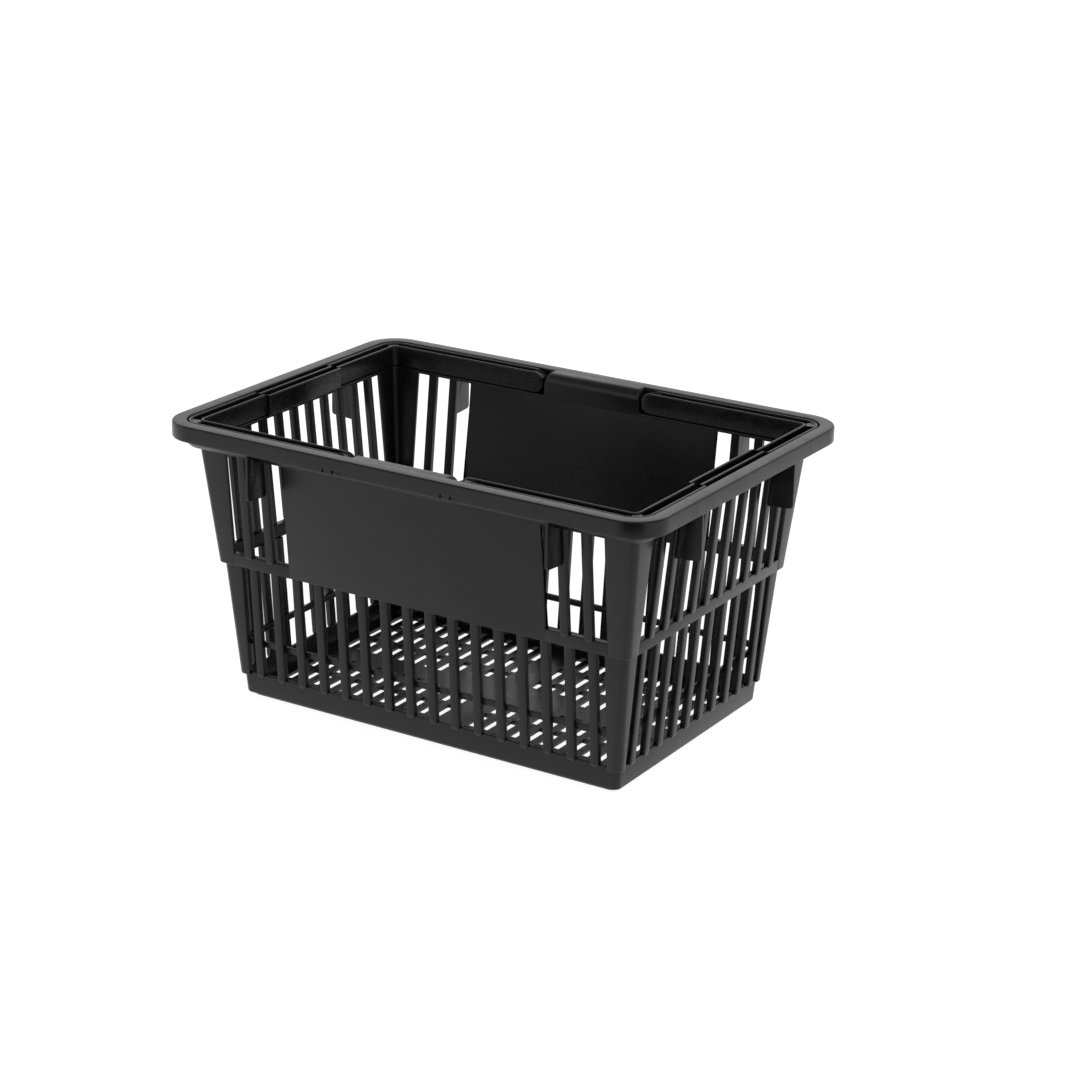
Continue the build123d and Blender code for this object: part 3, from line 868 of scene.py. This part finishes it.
WALL_MAKERS = {
    "lower_bars": lower_bars,
    "upper_bars": upper_bars,
    "mid_band": mid_band,
    "inner_rail": inner_rail,
    "gussets": gussets,
    "rim_rail": rim_rail,
}
LONG_WALL_MAKERS = {"panel": panel, "rim_bridge": rim_bridge}
POST_MAKERS = {"post": corner_post, "rim_corner": rim_corner}
HANDLE_MAKERS = {"handle_arm": handle_arm, "handle_corner": handle_corner}
# The signs of a corner's x and y.
CORNERS = {
    "front_left": (-1, -1),
    "front_right": (1, -1),
    "back_left": (-1, 1),
    "back_right": (1, 1),
}

for side in SIDES:
    for part, maker in WALL_MAKERS.items():
        mould(f"{side}_{part}", maker(side), "basket")
for side in ("front", "back"):
    for part, maker in LONG_WALL_MAKERS.items():
        mould(f"{side}_{part}", maker(side), "basket")
for corner, (sx, sy) in CORNERS.items():
    for part, maker in POST_MAKERS.items():
        mould(f"{corner}_{part}", maker(sx, sy), "basket")
    body = "left_handle" if sx < 0 else "right_handle"
    for part, maker in HANDLE_MAKERS.items():
        mould(f"{corner}_{part}", maker(sx, sy), body)
for side, sx in (("left", -1), ("right", 1)):
    mould(f"{side}_handle_grip", handle_grip(sx), f"{side}_handle")
mould("base_band", [base_band()], "basket", [f"{side}_base_band" for side in SIDES])

# The floor grid, the foot ring and the pins keep their own shapes.
kept = {"floor_grid": floor_plastic, "foot_ring": basket_plastic}
kept |= {f"{corner}_pivot_pin": handle_plastic for corner in CORNERS}
for name, material in kept.items():
    nodes[name].data.materials.clear()
    nodes[name].data.materials.append(material)

# ---------------------------------------------------------------- floor, light and camera
def flat_sheet(name, corners, finish):
    """Four-cornered flat sheet in one material."""
    mesh = bpy.data.meshes.new(name)
    mesh.from_pydata([tuple(corner) for corner in corners], [], [(0, 1, 2, 3)])
    mesh.materials.append(finish.material)
    sheet = bpy.data.objects.new(name, mesh)
    bpy.context.scene.collection.objects.link(sheet)
    return sheet


SPAN = 30.0
paper = Finish("studio_paper")
paper.set(
    Base_Color=(0.3, 0.3, 0.3, 1),
    Roughness=0.9,
    Specular_IOR_Level=0.0,
    Emission_Color=(1, 1, 1, 1),
    Emission_Strength=0.92,
)
floor_corners = [(-SPAN, -SPAN, 0), (SPAN, -SPAN, 0), (SPAN, SPAN, 0), (-SPAN, SPAN, 0)]
studio_floor = flat_sheet("studio_floor", floor_corners, paper)

# White walls and a grey ceiling: the strength falls as the direction rises.
WALL_LIGHT, CEILING_LIGHT = 1.0, 0.3
world = bpy.data.worlds.new("studio")
bpy.context.scene.world = world
world.use_nodes = True
backdrop = world.node_tree.nodes["Background"]
backdrop.inputs["Color"].default_value = (1, 1, 1, 1)
studio = Nodes(world.node_tree)
direction = studio.node("ShaderNodeTexCoord", {}, {}, "Generated")
rise = studio.node("ShaderNodeSeparateXYZ", {}, {0: direction}, 2)
ceiling = rise.ramp(0.45, 0.7)
strength = WALL_LIGHT + ceiling * (CEILING_LIGHT - WALL_LIGHT)
studio.feed(backdrop.inputs["Strength"], strength)


def softbox(name, place, target, size, watts):
    """Square soft light at a place, turned to a target: its Z points away from the target."""
    data = bpy.data.lights.new(name, "AREA")
    data.shape, data.size, data.energy = "SQUARE", size, watts
    light = bpy.data.objects.new(name, data)
    bpy.context.scene.collection.objects.link(light)
    z = np.array(place, float) - np.array(target, float)
    z /= np.linalg.norm(z)
    x = np.cross((0, 0, 1), z)
    x /= np.linalg.norm(x)
    matrix = np.eye(4)
    matrix[:3, :3] = np.column_stack([x, np.cross(z, x), z])
    matrix[:3, 3] = place
    light.matrix_world = Matrix(matrix.tolist())


def dark_card(name, place, facing, width, height):
    """Black card standing on the floor, hidden from the camera.

    It shows dark in reflections, and it also blocks light and casts a shadow.
    """
    along = np.array([np.cos(facing), np.sin(facing), 0.0]) * width / 2
    foot = np.array([*place, 0.002])
    top = foot + (0, 0, height)
    cloth = Finish("black_card")
    cloth.set(Base_Color=(0.01, 0.01, 0.01, 1), Roughness=1.0, Specular_IOR_Level=0.0)
    card = flat_sheet(name, (foot - along, foot + along, top + along, top - along), cloth)
    card.visible_camera = False


# Places in metres: the card faces the near corner of the basket.
dark_card("dark_card", place=(0.418, -0.589), facing=radians(26.0), width=0.70, height=0.5)
MIDDLE = (0, 0, 0.1)
softbox("key_light", place=(1.6, -0.6, 2.4), target=MIDDLE, size=1.6, watts=6.0)
softbox("back_light", place=(-1.4, 2.2, 2.0), target=MIDDLE, size=1.8, watts=4.0)

# Camera: turned by YAW round Z, tipped down by PITCH_DOWN and rolled. OFFSET is the basket's
# origin as the camera has it, in millimetres: to the right, up and back.
YAW, PITCH_DOWN, ROLL = radians(31.754), radians(19.366), radians(1.040)
OFFSET = np.array([-28.166, -127.839, -2251.742])
LENS, SENSOR = 95.4625, 36.0
flat, drop = np.cos(PITCH_DOWN), np.sin(PITCH_DOWN)
back = np.array([np.sin(YAW) * flat, -np.cos(YAW) * flat, drop])
right = np.array([np.cos(YAW), np.sin(YAW), 0.0])
up = np.cross(back, right)
roll = np.array([[np.cos(ROLL), np.sin(ROLL), 0], [-np.sin(ROLL), np.cos(ROLL), 0], [0, 0, 1]])
turn = roll @ np.array([right, up, back])
camera_data = bpy.data.cameras.new("camera")
camera_data.sensor_width = SENSOR
camera_data.lens = LENS
camera_data.clip_end = 100.0
camera = bpy.data.objects.new("camera", camera_data)
bpy.context.scene.collection.objects.link(camera)
matrix = np.eye(4)
matrix[:3, :3] = turn.T
matrix[:3, 3] = -turn.T @ OFFSET * MM
camera.matrix_world = Matrix(matrix.tolist())
bpy.context.scene.camera = camera
bpy.context.scene.view_settings.view_transform = "Standard"
